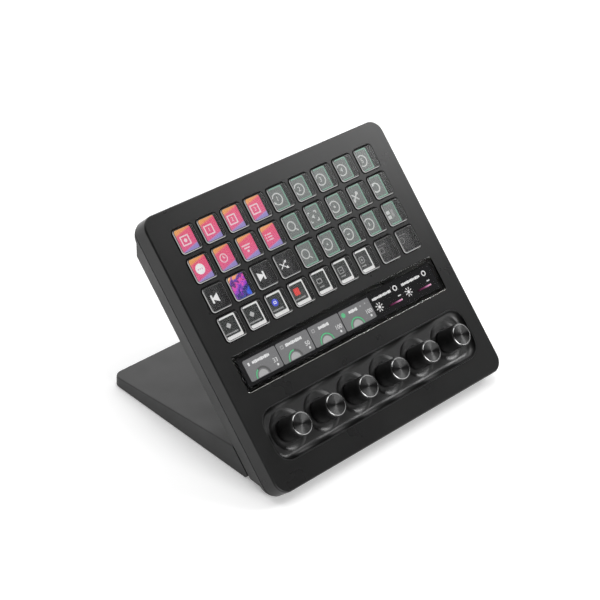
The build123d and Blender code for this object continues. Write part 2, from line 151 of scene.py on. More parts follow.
def addSky(look):
    world = bpy.data.worlds.new("studioSky")
    bpy.context.scene.world = world
    world.use_nodes = True
    world.cycles.sampling_method = "NONE"
    tree = world.node_tree
    tree.nodes.clear()
    path = tree.nodes.new("ShaderNodeLightPath")
    coords = tree.nodes.new("ShaderNodeTexCoord")
    side = addDot(tree, coords.outputs["Generated"], Vector(look["backWay"]).normalized())
    seen = tree.nodes.new("ShaderNodeBackground")
    seen.inputs["Strength"].default_value = look["seen"]
    lit = tree.nodes.new("ShaderNodeBackground")
    tree.links.new(addStep(tree, side, *look["fade"], look["front"], look["back"]), lit.inputs["Strength"])
    mix = tree.nodes.new("ShaderNodeMixShader")
    output = tree.nodes.new("ShaderNodeOutputWorld")
    tree.links.new(path.outputs["Is Camera Ray"], mix.inputs["Fac"])
    tree.links.new(lit.outputs["Background"], mix.inputs[1])
    tree.links.new(seen.outputs["Background"], mix.inputs[2])
    tree.links.new(mix.outputs["Shader"], output.inputs["Surface"])


def addSoftbox(name, box):
    spot, aim = Vector(box["spot"]) * mm, Vector(lampAim) * mm
    bpy.ops.object.light_add(type="AREA", location=spot)
    lamp = bpy.context.object
    lamp.name = name
    lamp.data.shape = "SQUARE"
    lamp.data.size = box["size"] * mm
    lamp.data.energy = box["power"]
    lamp.rotation_euler = (spot - aim).to_track_quat("Z", "Y").to_euler()


addSky(sky)
for lampName, lampBox in softboxes.items():
    addSoftbox(lampName, lampBox)
print("camera and light set")

# materials
fullSpan = (0.0, 1.0)
noiseSpan = (0.3, 0.7)  # nearly all of a noise's values lie in here
fineSpan = (0.35, 0.65)  # and here for a noise with little detail


def newMaterial(name, roughness, metallic=0.0, specular=0.5):
    material = bpy.data.materials.new(name)
    material.use_nodes = True
    shader = material.node_tree.nodes["Principled BSDF"]
    shader.inputs["Roughness"].default_value = roughness
    shader.inputs["Metallic"].default_value = metallic
    shader.inputs["Specular IOR Level"].default_value = specular
    material.cycles.emission_sampling = "NONE"
    return material, material.node_tree, shader


def addNoise(tree, scale, detail=3.0, stretch=(1, 1, 1)):
    coords = tree.nodes.new("ShaderNodeTexCoord")
    mapping = tree.nodes.new("ShaderNodeMapping")
    mapping.inputs["Scale"].default_value = stretch
    noise = tree.nodes.new("ShaderNodeTexNoise")
    noise.inputs["Scale"].default_value = scale
    noise.inputs["Detail"].default_value = detail
    tree.links.new(coords.outputs["Object"], mapping.inputs["Vector"])
    tree.links.new(mapping.outputs["Vector"], noise.inputs["Vector"])
    return noise.outputs["Fac"]


def addRamp(tree, source, stops, ease="LINEAR"):
    ramp = tree.nodes.new("ShaderNodeValToRGB")
    ramp.color_ramp.interpolation = ease
    while len(ramp.color_ramp.elements) < len(stops):
        ramp.color_ramp.elements.new(0.5)  # moved to its place below
    for element, (place, color) in zip(ramp.color_ramp.elements, stops):
        element.position = place
        element.color = (*color, 1)
    tree.links.new(source, ramp.inputs["Fac"])
    return ramp.outputs["Color"]


def addTones(tree, source, dark, light, span=noiseSpan):
    return addRamp(tree, source, [(span[0], dark), (span[1], light)])


def addBump(tree, shader, source, strength, depth):
    bump = tree.nodes.new("ShaderNodeBump")
    bump.inputs["Strength"].default_value = strength
    bump.inputs["Distance"].default_value = depth * mm
    tree.links.new(source, bump.inputs["Height"])
    tree.links.new(bump.outputs["Normal"], shader.inputs["Normal"])


def grey(level):
    return (level, level, level)


def greys(levels):
    return [grey(level) for level in levels]


# moulded parts: tone and gloss run between two values, and grain is the scale of the bump's noise
plastics = {
    "facePlastic": {
        "tone": (0.0095, 0.0115), "gloss": (0.27, 0.3), "grain": 1500, "bump": 0.12, "mirror": 0.32,
    },
    "shellPlastic": {
        "tone": (0.020, 0.026), "gloss": (0.5, 0.58), "grain": 1200, "bump": 0.2, "mirror": 0.5,
    },
    "footPlastic": {
        "tone": (0.022, 0.028), "gloss": (0.46, 0.54), "grain": 1200, "bump": 0.2, "mirror": 0.5,
    },
    "traySatin": {
        "tone": (0.003, 0.005), "gloss": (0.33, 0.37), "grain": 700, "bump": 0.04, "mirror": 0.68,
    },
    "rubber": {
        "tone": (0.012, 0.02), "gloss": (0.75, 0.85), "grain": 900, "bump": 0.3, "mirror": 0.5,
    },
    "membraneRubber": {
        "tone": (0.004, 0.007), "gloss": (0.7, 0.8), "grain": 900, "bump": 0.1, "mirror": 0.05,
    },
    "encoderBody": {
        "tone": (0.02, 0.03), "gloss": (0.4, 0.5), "grain": 900, "bump": 0.1, "mirror": 0.5,
    },
}
mouldGrain = {"toneScale": 30, "glossScale": 45, "detail": 2.0, "depth": 0.05}


def mouldedPlastic(name, look):
    # spark-eroded grain, with slow changes of colour and gloss
    material, tree, shader = newMaterial(name, look["gloss"][0], specular=look["mirror"])
    tone = addTones(tree, addNoise(tree, mouldGrain["toneScale"]), *greys(look["tone"]))
    tree.links.new(tone, shader.inputs["Base Color"])
    gloss = addStep(tree, addNoise(tree, mouldGrain["glossScale"]), *noiseSpan, *look["gloss"])
    tree.links.new(gloss, shader.inputs["Roughness"])
    grain = addNoise(tree, look["grain"], mouldGrain["detail"])
    addBump(tree, shader, grain, look["bump"], mouldGrain["depth"])
    return material


steels = {
    "screwSteel": {"tone": (0.12, 0.2), "gloss": (0.25, 0.4)},
    "spindleSteel": {"tone": (0.5, 0.62), "gloss": (0.2, 0.35)},
    "ballastSteel": {"tone": (0.045, 0.07), "gloss": (0.45, 0.6)},
}
steelTone = {"scale": 60}
steelGloss = {"scale": 200, "detail": 4.0, "stretch": (1, 8, 1)}
steelGrain = {"scale": 900, "detail": 2.0, "stretch": (1, 6, 1)}
steelBump = {"strength": 0.1, "depth": 0.03}


def coatedSteel(name, look):
    # thin coat over steel with a drawn grain
    material, tree, shader = newMaterial(name, look["gloss"][0], metallic=1.0)
    tone = addTones(tree, addNoise(tree, **steelTone), *greys(look["tone"]))
    tree.links.new(tone, shader.inputs["Base Color"])
    gloss = addStep(tree, addNoise(tree, **steelGloss), *noiseSpan, *look["gloss"])
    tree.links.new(gloss, shader.inputs["Roughness"])
    addBump(tree, shader, addNoise(tree, **steelGrain), **steelBump)
    return material


screenLook = {
    "tone": ((0.003, 0.003, 0.004), (0.006, 0.006, 0.008)),
    "span": noiseSpan,
    "mottle": {"scale": 80},
    "grain": {"scale": 3000, "detail": 1.0},
    "bump": {"strength": 0.05, "depth": 0.01},
    "rough": 0.5,
    "mirror": 0.03,
}
laminateLook = {
    "tone": ((0.004, 0.03, 0.015), (0.008, 0.05, 0.025)),
    "span": fineSpan,
    "mottle": {"scale": 700, "detail": 2.0},
    "grain": {"scale": 1500, "detail": 1.0},
    "bump": {"strength": 0.15, "depth": 0.04},
    "rough": 0.35,
    "mirror": 0.5,
}


def mottledSheet(name, look):
    # an even gloss over a mottled colour, for the dark screens and the green boards
    material, tree, shader = newMaterial(name, look["rough"], specular=look["mirror"])
    tone = addTones(tree, addNoise(tree, **look["mottle"]), *look["tone"], look["span"])
    tree.links.new(tone, shader.inputs["Base Color"])
    addBump(tree, shader, addNoise(tree, **look["grain"]), **look["bump"])
    return material


# clear key caps
keyClear = {
    "refraction": 1.46,
    "smooth": 0.04,
    "clear": 0.93,
    "mirror": 0.08,
    "haze": 0.78,
    "hazeRough": 0.29,
    "side": 0.004,
    "sideRough": 0.95,
    "rim": (0.02, 0.25),  # dull, and lighter at the lower left: a painted highlight
    "rimRough": 0.5,
    # the glow of the rim's painted highlight at its lower left
    "paintedRimGlow": 0.34,
    # how square to the face the surface is where each change starts and ends: 0 on the sides, 1 on the flats
    "sideEnd": (0.3, 0.55),
    "rimStart": (0.6, 0.72),
    "rimEnd": (0.9, 0.95),
    "flat": (0.992, 0.999),
    # the way that the rim's painted highlight faces, and how far the surface agrees with it
    "paintedHighlightWay": {"down": 0.65, "left": 0.75},
    "polished": (-0.1, 0.35),
    "ripple": {"scale": 350, "detail": 2.0},
    "bump": {"strength": 0.015, "depth": 0.04},
}


def clearKeyPlastic(name, look):
    # clear on the flats, a rim where the edge rolls over, lit at its lower left by a painted highlight and
    # painted glow, and black round the sides
    material, tree, shader = newMaterial(name, look["smooth"])
    shader.inputs["IOR"].default_value = look["refraction"]
    shader.inputs["Specular Tint"].default_value = (*grey(look["mirror"]), 1)
    shader.inputs["Coat Roughness"].default_value = look["hazeRough"]
    shader.inputs["Emission Strength"].default_value = 1.0
    surface = tree.nodes.new("ShaderNodeNewGeometry")
    facing = addDot(tree, surface.outputs["Normal"], faceOut)
    square = addMath(tree, "ABSOLUTE", facing)
    rimStart = addStep(tree, square, *look["rimStart"])
    rimEnd = addStep(tree, square, *look["rimEnd"], 1.0, 0.0)
    rimPart = addMath(tree, "MULTIPLY", rimStart, rimEnd)
    # the rolled edge is painted lighter at its lower left and made to glow there: a painted highlight
    way = look["paintedHighlightWay"]
    lowerLeft = -(faceUp * way["down"] + faceRight * way["left"]).normalized()
    polished = addStep(tree, addDot(tree, surface.outputs["Normal"], lowerLeft), *look["polished"])
    rimToneWithPaintedHighlight = addTones(tree, polished, *greys(look["rim"]), fullSpan)
    paintedGlowMask = addMath(tree, "MULTIPLY", polished, rimPart)
    glow = addTones(tree, paintedGlowMask, *greys((0.0, look["paintedRimGlow"])), fullSpan)
    tree.links.new(glow, shader.inputs["Emission Color"])
    flatStart, flatEnd = look["flat"]
    side, clear = greys((look["side"], look["clear"]))
    flatTone = addRamp(tree, square, [(0.0, side), (flatStart, side), (flatEnd, clear)])
    blend = tree.nodes.new("ShaderNodeMix")
    blend.data_type = "RGBA"
    tree.links.new(rimPart, blend.inputs["Factor"])
    tree.links.new(flatTone, blend.inputs["A"])
    tree.links.new(rimToneWithPaintedHighlight, blend.inputs["B"])
    tree.links.new(blend.outputs["Result"], shader.inputs["Base Color"])
    tree.links.new(addStep(tree, square, *look["flat"]), shader.inputs["Transmission Weight"])
    tree.links.new(addStep(tree, facing, *look["flat"], 0.0, look["haze"]), shader.inputs["Coat Weight"])
    tree.links.new(rimPart, shader.inputs["Metallic"])
    sideRough, rimRough, smooth = greys((look["sideRough"], look["rimRough"], look["smooth"]))
    sideStart, sideEnd = look["sideEnd"]
    rough = [(sideStart, sideRough), (sideEnd, rimRough), (flatStart, rimRough), (flatEnd, smooth)]
    tree.links.new(addRamp(tree, square, rough), shader.inputs["Roughness"])
    addBump(tree, shader, addNoise(tree, **look["ripple"]), **look["bump"])
    return material


# the strip's glass
stripClear = {
    "refraction": 1.5,
    "smooth": 0.03,
    "tone": (0.93, 0.97),
    "toneScale": 60,
    # how far the surface faces down where the painted highlight on the lower edge starts and ends
    "edge": (0.3, 0.6),
    "paintedEdgeGlow": (0.26, 0.255, 0.23),
    "ripple": {"scale": 200, "detail": 2.0},
    "bump": {"strength": 0.02, "depth": 0.02},
}
stripChamfer = {"width": 0.3, "segments": 2, "sharp": 50}


def clearStripGlass(name, look):
    # clear glass with a painted highlight: its lower edge glows a little
    material, tree, shader = newMaterial(name, look["smooth"])
    shader.inputs["IOR"].default_value = look["refraction"]
    shader.inputs["Transmission Weight"].default_value = 1.0
    shader.inputs["Emission Strength"].default_value = 1.0
    tone = addTones(tree, addNoise(tree, look["toneScale"]), *greys(look["tone"]))
    tree.links.new(tone, shader.inputs["Base Color"])
    surface = tree.nodes.new("ShaderNodeNewGeometry")
    # the lower edge glows: a painted highlight
    edge = addStep(tree, addDot(tree, surface.outputs["Normal"], -faceUp), *look["edge"])
    glow = addTones(tree, edge, grey(0.0), look["paintedEdgeGlow"], fullSpan)
    tree.links.new(glow, shader.inputs["Emission Color"])
    addBump(tree, shader, addNoise(tree, **look["ripple"]), **look["bump"])
    return material


def rollEdges(nodeName, look):
    # a fine polished chamfer on a plate's sharp edges, as live modifiers
    node = nodes[nodeName]
    weld = node.modifiers.new("weld", "WELD")
    weld.merge_threshold = weldGap * mm
    bevel = node.modifiers.new("edges", "BEVEL")
    bevel.width = look["width"] * mm
    bevel.segments = look["segments"]
    bevel.limit_method = "ANGLE"
    bevel.angle_limit = math.radians(look["sharp"])
    bevel.use_clamp_overlap = False


finishes = {name: mouldedPlastic(name, look) for name, look in plastics.items()}
finishes.update({name: coatedSteel(name, look) for name, look in steels.items()})
finishes["screenFace"] = mottledSheet("screenFace", screenLook)
finishes["boardLaminate"] = mottledSheet("boardLaminate", laminateLook)
finishes["clearKeyPlastic"] = clearKeyPlastic("clearKeyPlastic", keyClear)
finishes["clearStripGlass"] = clearStripGlass("clearStripGlass", stripClear)

nodeFinishes = {
    "faceplate": "facePlastic",
    "rear_housing": "shellPlastic",
    "stand_foot": "footPlastic",
    "dial_tray": "traySatin",
    "strip_glass": "clearStripGlass",
    "display_panels": "screenFace",
    "key_membrane": "membraneRubber",
    "circuit_boards": "boardLaminate",
    "dial_encoders": "encoderBody",
    "foot_base_plate": "ballastSteel",
    "rubber_feet": "rubber",
    "screws": "screwSteel",
}
for dial in dials:
    nodeFinishes[f"dial_{dial}_spindle"] = "spindleSteel"
for row in keyRows:
    for column in keyColumns:
        nodeFinishes[f"key_r{row}_c{column}"] = "clearKeyPlastic"


def paint(nodeName, material):
    slots = nodes[nodeName].data.materials
    slots.clear()
    slots.append(material)


for nodeName, finish in nodeFinishes.items():
    paint(nodeName, finishes[finish])
rollEdges("strip_glass", stripChamfer)
print("frame painted")

# dial knobs: a black sleeve, a bright turned edge and an end face brushed in rings
dialKnob = {
    "radius": 7.65,
    "back": -5.2,
    "front": 11.3,
    "edgeOuter": 6.95,
    "edgeInner": 6.55,
    "edgeDrop": 0.28,
    "dish": 0.12,
    "dishHalfway": 0.75,  # the share of the dish's depth that is left half way out
    "lipInset": 0.2,
    "lipDrop": 0.12,
    "shoulder": 0.75,
    "backChamfer": 0.3,
    "skirtWall": 1.4,
    "skirtDepth": 9.0,
    "bossRadius": 4.7,
    "boreRadius": 3.1,
    "boreDepth": 11.1,
    "steps": 72,
    "smoothUpTo": 35,
    "turnEach": 37,  # degrees from one knob to the next, so that their brushing differs
}
knobMetals = {
    "knobSleeve": {"tone": (0.018, 0.03), "rough": 0.36, "stretch": 0.2, "metallic": 0.6},
    "knobEdge": {"tone": (0.3, 0.37), "rough": 0.16, "stretch": 0.2, "metallic": 1.0},
    "knobEnd": {"tone": (0.055, 0.08), "rough": 0.35, "stretch": 0.92, "metallic": 1.0},
}
turnedLines = {
    "patch": 30,  # millimetres outwards for one unit of u
    "stretch": (90, 1.5, 1),
    "scale": 6.0,
    "detail": 3.0,
    "roughShare": (0.85, 1.15),
    "bump": {"strength": 0.05, "depth": 0.02},
}


def deselectAll():
    if bpy.context.object and bpy.context.object.mode != "OBJECT":
        bpy.ops.object.mode_set(mode="OBJECT")
    bpy.ops.object.select_all(action="DESELECT")


def brushedMetal(name, look, lines):
    # fine turned lines round the knob, drawn along its own UV map: u outwards and v round
    material, tree, shader = newMaterial(name, look["rough"], metallic=look["metallic"])
    spot = tree.nodes.new("ShaderNodeUVMap")
    spot.uv_map = "turned"
    drawn = tree.nodes.new("ShaderNodeMapping")
    drawn.inputs["Scale"].default_value = lines["stretch"]
    noise = tree.nodes.new("ShaderNodeTexNoise")
    noise.inputs["Scale"].default_value = lines["scale"]
    noise.inputs["Detail"].default_value = lines["detail"]
    tree.links.new(spot.outputs["UV"], drawn.inputs["Vector"])
    tree.links.new(drawn.outputs["Vector"], noise.inputs["Vector"])
    tree.links.new(addTones(tree, noise.outputs["Fac"], *greys(look["tone"])), shader.inputs["Base Color"])
    rough = [look["rough"] * share for share in lines["roughShare"]]
    tree.links.new(addStep(tree, noise.outputs["Fac"], *noiseSpan, *rough), shader.inputs["Roughness"])
    addBump(tree, shader, noise.outputs["Fac"], **lines["bump"])
    tangent = tree.nodes.new("ShaderNodeTangent")
    tangent.direction_type = "UV_MAP"
    tangent.uv_map = "turned"
    tree.links.new(tangent.outputs["Tangent"], shader.inputs["Tangent"])
    shader.inputs["Anisotropic"].default_value = look["stretch"]
    return material


def knobSection(look):
    # half of the section, walked from the axis outwards over the front and back to the bore
    front, back, radius = look["front"], look["back"], look["radius"]
    inside = radius - look["skirtWall"]
    return [
        (0, front - look["dish"]),
        (look["edgeInner"] / 2, front - look["dish"] * look["dishHalfway"]),
        (look["edgeInner"], front),
        (look["edgeOuter"], front - look["edgeDrop"]),
        (radius - look["lipInset"], front - look["edgeDrop"] - look["lipDrop"]),
        (radius, front - look["shoulder"]),
        (radius, (front + back) / 2),
        (radius, back + look["backChamfer"]),
        (radius - look["backChamfer"], back),
        (inside, back),
        (inside, back + look["skirtDepth"]),
        (look["bossRadius"], back + look["skirtDepth"]),
        (look["bossRadius"], back),
        (look["boreRadius"], back),
        (look["boreRadius"], back + look["boreDepth"]),
        (0, back + look["boreDepth"]),
    ]


def makeKnob(look):
    # one knob at the origin: the section is drawn point by point and then spun
    section = knobSection(look)
    deselectAll()
    bpy.ops.mesh.primitive_plane_add(size=mm, location=(section[0][0] * mm, 0, section[0][1] * mm))
    knob = bpy.context.object
    bpy.ops.object.transform_apply(location=True, rotation=False, scale=False)
    bpy.ops.object.mode_set(mode="EDIT")
    bpy.ops.mesh.select_mode(type="VERT")
    bpy.ops.mesh.select_all(action="SELECT")
    bpy.ops.mesh.merge(type="CENTER")
    for start, end in zip(section, section[1:]):
        step = ((end[0] - start[0]) * mm, 0, (end[1] - start[1]) * mm)
        bpy.ops.mesh.extrude_vertices_move(TRANSFORM_OT_translate={"value": step})
    bpy.ops.mesh.select_all(action="SELECT")
    bpy.ops.mesh.spin(steps=look["steps"], angle=math.tau, center=(0, 0, 0), axis=(0, 0, 1))
    bpy.ops.mesh.select_all(action="SELECT")
    bpy.ops.mesh.remove_doubles(threshold=weldGap * mm)
    bpy.ops.mesh.normals_make_consistent(inside=False)
    bpy.ops.object.mode_set(mode="OBJECT")
    bpy.ops.object.shade_smooth_by_angle(angle=math.radians(look["smoothUpTo"]))
    return knob


def finishKnob(knob, look):
    # the edge and the end face get metals of their own, and every face the map for the turned lines
    sleeve, edge, end = range(len(knobMetals))
    for name, metal in knobMetals.items():
        knob.data.materials.append(brushedMetal(name, metal, turnedLines))
    layer = knob.data.uv_layers.new(name="turned")
    for face in knob.data.polygons:
        spot = face.center / mm
        reach = math.hypot(spot.x, spot.y)
        inFront = spot.z > look["front"] - look["edgeDrop"]
        if inFront and reach < look["edgeInner"]:
            face.material_index = end
        elif inFront and reach < look["edgeOuter"]:
            face.material_index = edge
        middle = math.atan2(spot.y, spot.x)
        for loopIndex in face.loop_indices:
            corner = knob.data.vertices[knob.data.loops[loopIndex].vertex_index].co / mm
            radius = math.hypot(corner.x, corner.y)
            angle = math.atan2(corner.y, corner.x) if radius > weldGap else middle
            angle = middle + (angle - middle + math.pi) % math.tau - math.pi
            along = radius - corner.z if face.material_index == sleeve else radius
            layer.data[loopIndex].uv = (along / turnedLines["patch"], angle / math.tau)


def copyKnob(pattern, look, dial):
    knob = pattern.copy()
    knob.data = pattern.data.copy()
    knob.name = f"knob_{dial}"
    knob.data.name = knob.name
    bpy.context.collection.objects.link(knob)
    axisSpot = onFace(Vector(joints[f"dial_{dial}_turn"]["pos_m"]))
    turned = Matrix.Rotation(math.radians(look["turnEach"] * dial), 4, "Z")
    knob.data.transform(faceMatrix @ Matrix.Translation(Vector((axisSpot.x, axisSpot.y, 0)) * mm) @ turned)
    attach(knob, f"dial_{dial}_turn")
    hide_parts(f"dial_{dial}_knob")


firstKnob = makeKnob(dialKnob)
finishKnob(firstKnob, dialKnob)
for dial in dials:
    copyKnob(firstKnob, dialKnob, dial)
bpy.data.objects.remove(firstKnob)
print("knobs made")

# what the screens show: plain inks, and inks that change colour over the shape
screenInk = {"rough": 0.5, "base": 0.002, "uneven": 0.88, "dots": 2500}
inkColors = {
    "white": grey(0.9),
    "light": (0.6, 0.61, 0.6),
    "frame": (0.84, 0.84, 0.83),
    "pale": grey(0.3),
    "soft": (0.85, 0.66, 0.7),
    "bright": grey(0.5),
    "caption": grey(0.33),
    "dim": grey(0.14),
    "dark": (0.006, 0.006, 0.007),
    "smoke": (0.024, 0.027, 0.026),
    "mist": (0.15, 0.165, 0.158),
    "ground": (0.02, 0.02, 0.021),
    "mint": (0.19, 0.4, 0.3),
    "cell": (0.24, 0.24, 0.245),
    "green": (0.16, 0.6, 0.3),
    "blue": (0.05, 0.08, 0.75),
    "red": (0.8, 0.06, 0.05),
    "rose": (0.75, 0.25, 0.5),
}
inkBlends = {
    "sunset": {
        "lean": -0.22, "rise": 1.0, "strength": 0.92, "swirl": 0.0,
        "stops": [
            (0.0, (0.3, 0.26, 0.6)), (0.02, (0.36, 0.27, 0.6)), (0.09, (0.82, 0.1, 0.26)),
            (0.68, (0.85, 0.09, 0.2)), (0.8, (0.88, 0.34, 0.1)), (1.0, (0.9, 0.45, 0.12)),
        ],
    },
    "swirl": {
        "lean": -0.5, "rise": 1.0, "strength": 1.0, "swirl": 0.62,
        "stops": [
            (0.16, (0.04, 0.12, 0.8)), (0.27, (0.012, 0.01, 0.14)), (0.35, (0.28, 0.04, 0.6)),
            (0.42, (0.8, 0.08, 0.42)), (0.47, (0.1, 0.015, 0.16)), (0.53, (0.12, 0.03, 0.5)),
            (0.59, (0.95, 0.33, 0.1)), (0.68, (0.95, 0.65, 0.3)),
        ],
    },
    "slider": {
        "lean": 1.0, "rise": 0.0, "strength": 1.0, "swirl": 0.0,
        "stops": [
            (0.0, (0.01, 0.005, 0.008)), (0.4, (0.16, 0.03, 0.09)),
            (0.9, (0.85, 0.35, 0.6)), (1.0, (0.95, 0.7, 0.8)),
        ],
    },
}
swirlNoise = {"Scale": 2.3, "Detail": 3.0, "Distortion": 1.6}


def newInk(name, strength=1.0):
    material, tree, shader = newMaterial(name, screenInk["rough"], specular=0.0)
    shader.inputs["Base Color"].default_value = (*grey(screenInk["base"]), 1)
    shader.inputs["Emission Strength"].default_value = strength
    return material, tree, shader


def litInk(name, color):
    # one lit colour, a little uneven from dot to dot
    material, tree, shader = newInk(name)
    low = tuple(part * screenInk["uneven"] for part in color)
    dots = addTones(tree, addNoise(tree, screenInk["dots"], 1.0), low, color, fineSpan)
    tree.links.new(dots, shader.inputs["Emission Color"])
    return material


def litBlend(name, look):
    # a band of colours across the shape, leaning by its UV map, and stirred by a noise for a swirl
    material, tree, shader = newInk(name, look["strength"])
    spot = tree.nodes.new("ShaderNodeUVMap")
    spot.uv_map = "picture"
    stir = tree.nodes.new("ShaderNodeTexNoise")
    for socket, value in swirlNoise.items():
        stir.inputs[socket].default_value = value
    tree.links.new(spot.outputs["UV"], stir.inputs["Vector"])
    blend = tree.nodes.new("ShaderNodeMix")
    blend.inputs["Factor"].default_value = look["swirl"]
    tree.links.new(addDot(tree, spot.outputs["UV"], (look["lean"], look["rise"], 0.0)), blend.inputs["A"])
    tree.links.new(stir.outputs["Fac"], blend.inputs["B"])
    lit = addRamp(tree, blend.outputs["Result"], look["stops"], "EASE")
    tree.links.new(lit, shader.inputs["Emission Color"])
    return material


inks = {name: litInk("ink" + name.capitalize(), color) for name, color in inkColors.items()}
inks.update({name: litBlend("ink" + name.capitalize(), look) for name, look in inkBlends.items()})

# flat shapes for the pictures, made once at the origin and copied
flatLook = {"cornerSteps": 4, "arcSides": 40, "digitSize": 1.4, "digitSteps": 3}


def growUp(thick):
    # pulls the flat shape up into a plate, from the level z = 0
    bpy.ops.mesh.select_all(action="SELECT")
    bpy.ops.mesh.extrude_region_move(TRANSFORM_OT_translate={"value": (0, 0, thick * mm)})
    bpy.ops.mesh.select_all(action="SELECT")
    bpy.ops.mesh.normals_make_consistent(inside=False)
    bpy.ops.object.mode_set(mode="OBJECT")


def cutAway(keep):
    # drops the faces of the mesh in edit mode whose middle fails the test
    sheet = bmesh.from_edit_mesh(bpy.context.object.data)
    bpy.ops.mesh.select_mode(type="FACE")
    for face in sheet.faces:
        face.select_set(not keep(face.calc_center_median() / mm))
    bmesh.update_edit_mesh(bpy.context.object.data)
    bpy.ops.mesh.delete(type="FACE")


def flatPlate(width, height, corner):
    # a rectangle with round corners, left in edit mode
    deselectAll()
    bpy.ops.mesh.primitive_plane_add(size=1)
    plate = bpy.context.object
    plate.scale = (width * mm, height * mm, 1)
    bpy.ops.object.transform_apply(location=False, rotation=False, scale=True)
    bpy.ops.object.mode_set(mode="EDIT")
    bpy.ops.mesh.select_all(action="SELECT")
    bpy.ops.mesh.bevel(offset=corner * mm, segments=flatLook["cornerSteps"], affect="VERTICES")
    return plate


def makePlate(width, height, corner, thick):
    plate = flatPlate(width, height, corner)
    growUp(thick)
    return plate


def makeFrame(width, height, corner, border, thick):
    rim = flatPlate(width, height, corner)
    bpy.ops.mesh.select_all(action="SELECT")
    bpy.ops.mesh.inset(thickness=border * mm)
    cutAway(lambda spot: spot.length > border / 2)
    growUp(thick)
    return rim


def makeDisc(radius, sides, thick):
    deselectAll()
    bpy.ops.mesh.primitive_circle_add(vertices=sides, radius=radius * mm, fill_type="NGON")
    disc = bpy.context.object
    bpy.ops.object.mode_set(mode="EDIT")
    growUp(thick)
    return disc


def makeArc(radius, border, first, sweep, thick):
    # a band round a circle, from the first angle on by the sweep, in degrees
    deselectAll()
    outer = (radius + border / 2) * mm
    bpy.ops.mesh.primitive_circle_add(vertices=flatLook["arcSides"], radius=outer, fill_type="NGON")
    band = bpy.context.object
    bpy.ops.object.mode_set(mode="EDIT")
    bpy.ops.mesh.select_all(action="SELECT")
    bpy.ops.mesh.inset(thickness=border * mm)

    def inBand(spot):
        turned = (math.degrees(math.atan2(spot.y, spot.x)) - first) % 360
        return spot.length > radius / 2 and turned <= sweep

    cutAway(inBand)
    growUp(thick)
    return band


def makeDigits(text, height, thick):
    deselectAll()
    bpy.ops.object.text_add()
    digits = bpy.context.object
    digits.data.body = text
    digits.data.size = height * mm * flatLook["digitSize"]
    digits.data.align_x = "CENTER"
    digits.data.align_y = "CENTER"
    digits.data.resolution_u = flatLook["digitSteps"]
    digits.data.extrude = thick * mm / 2
    bpy.ops.object.convert(target="MESH")
    digits = bpy.context.object
    digits.data.transform(Matrix.Translation((0, 0, thick * mm / 2)))
    return digits


makers = {"plate": makePlate, "frame": makeFrame, "disc": makeDisc, "arc": makeArc, "digits": makeDigits}
shapeStore = {}


def mapFlat(shape):
    # the picture's own UV map, from 0 to 1 over the flat shape
    for layer in list(shape.data.uv_layers):
        shape.data.uv_layers.remove(layer)
    layer = shape.data.uv_layers.new(name="picture")
    spots = [vertex.co for vertex in shape.data.vertices]
    low = Vector((min(spot.x for spot in spots), min(spot.y for spot in spots)))
    high = Vector((max(spot.x for spot in spots), max(spot.y for spot in spots)))
    for loop in shape.data.loops:
        spot = shape.data.vertices[loop.vertex_index].co
        across = (spot.x - low.x) / (high.x - low.x)
        up = (spot.y - low.y) / (high.y - low.y)
        layer.data[loop.index].uv = (across, up)


def flatShape(kind, sizes, ink, x, y, turn, level):
    # one flat shape in its ink, moved to its spot and level on the picture
    key = (kind, *sizes)
    if key not in shapeStore:
        shapeStore[key] = makers[kind](*sizes)
        shapeStore[key].hide_render = True
    shape = shapeStore[key].copy()
    shape.data = shapeStore[key].data.copy()
    shape.hide_render = False
    bpy.context.collection.objects.link(shape)
    shape.data.materials.clear()
    shape.data.materials.append(inks[ink])
    mapFlat(shape)
    spot = Matrix.Translation(Vector((x, y, level)) * mm) @ Matrix.Rotation(math.radians(turn), 4, "Z")
    shape.data.transform(spot)
    return shape


def joinPicture(name, shapes, place):
    # joins the flat shapes, puts them on the face and lets them ride with the slab
    deselectAll()
    for shape in shapes:
        shape.select_set(True)
    bpy.context.view_layer.objects.active = shapes[0]
    bpy.ops.object.join()
    picture = bpy.context.object
    picture.name = name
    picture.data.name = name
    picture.data.transform(faceMatrix @ Matrix.Translation(Vector(place) * mm))
    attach(picture, "chassis")


# marks are (kind, sizes, ink, right, up, turn), in millimetres and degrees from the picture's middle
def bar(width, height, corner, ink, x=0, y=0, turn=0):
    return ("plate", (width, height, corner), ink, x, y, turn)


def outline(width, height, corner, border, ink, x=0, y=0):
    return ("frame", (width, height, corner, border), ink, x, y, 0)


def dot(radius, sides, ink, x=0, y=0, turn=0):
    return ("disc", (radius, sides), ink, x, y, turn)


def arc(radius, border, first, sweep, ink, x=0, y=0):
    return ("arc", (radius, border, first, sweep), ink, x, y, 0)


def ring(radius, border, ink, x=0, y=0):
    return arc(radius, border, 0, 360, ink, x, y)


def number(text, height, ink, x=0, y=0):
    return ("digits", (text, height), ink, x, y, 0)


captionBlocks = {
    "widths": (1.5, 0.9, 1.2, 1.9, 0.8, 1.4, 1.1),
    "gap": 0.18,
    "least": 0.6,  # no block starts nearer to the end than this
    "low": 0.75,  # share of the height
    "corner": 0.15,
}


def wordBlocks(width, height, ink, x, y, order=0):
    # short blocks in a row, in the place of a caption, every third one a little lower
    look, blocks, along = captionBlocks, [], 0.0
    while along < width - look["least"]:
        place = order + len(blocks)
        block = min(look["widths"][place % len(look["widths"])], width - along)
        tall = height * (1.0 if place % 3 else look["low"])
        spot = x - width / 2 + along + block / 2
        blocks.append(bar(round(block, 2), round(tall, 2), look["corner"], ink, spot, y))
        along += block + look["gap"]
    return blocks


# pictures under the keys
keyPicture = {
    "width": 14.4,
    "height": 15.5,
    "corner": 1.3,
    "innerCorner": 0.6,  # share of the corner
    "front": -5.5,
    "thick": 0.85,
    "pitch": 19.11,
    "middleColumn": 5,
    "ink": 0.05,
    "stack": 0.003,  # each mark lies this much above the one before
}
